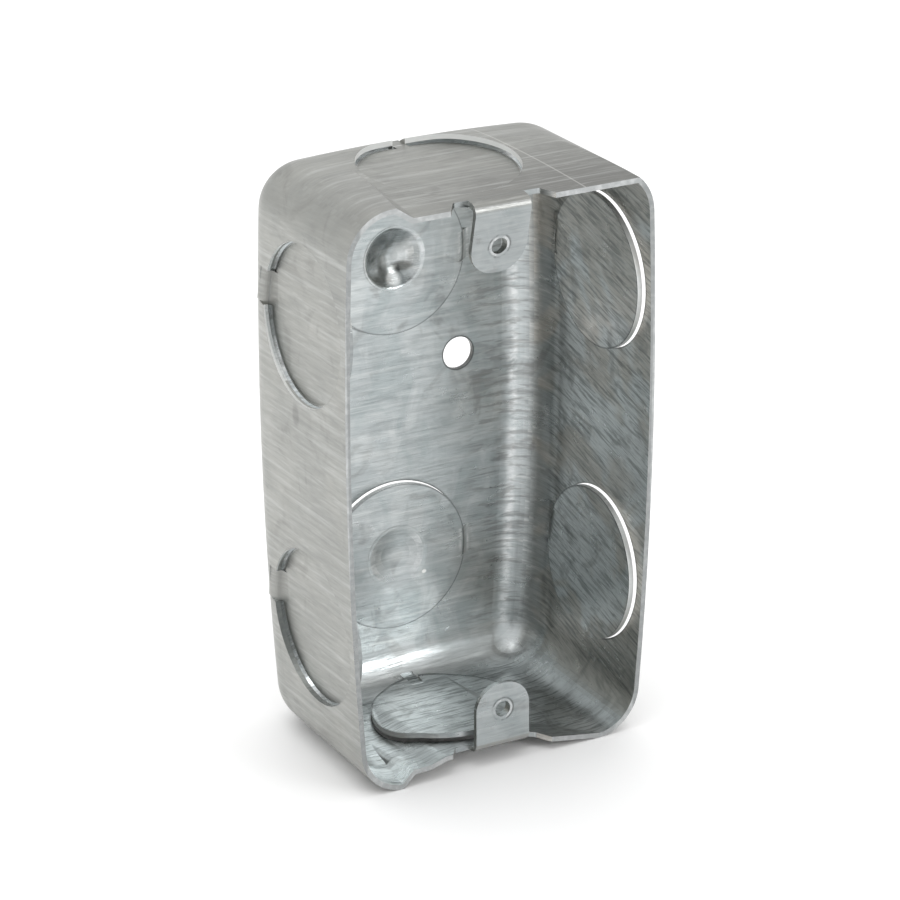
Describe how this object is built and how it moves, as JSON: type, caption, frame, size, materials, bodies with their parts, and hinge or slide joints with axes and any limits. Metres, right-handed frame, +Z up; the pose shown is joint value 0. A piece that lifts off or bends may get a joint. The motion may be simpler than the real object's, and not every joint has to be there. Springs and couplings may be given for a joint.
{
  "type": "junction box",
  "caption": "Drawn sheet steel junction box with an open front, folded screw ears, tied knockouts and back mounting holes.",
  "frame": {"origin": "middle of the footprint, on the surface that the box stands on", "axes": "+X across the box, +Y from the open front to the back plate, +Z up the length of the box"},
  "size_m": [0.059, 0.0382, 0.1042],
  "materials": {
    "galvanised_steel": "hot dip galvanised, dull with drawing marks"
  },
  "bodies": {
    "root": {"box_body": "galvanised_steel"}
  },
  "joints": []
}
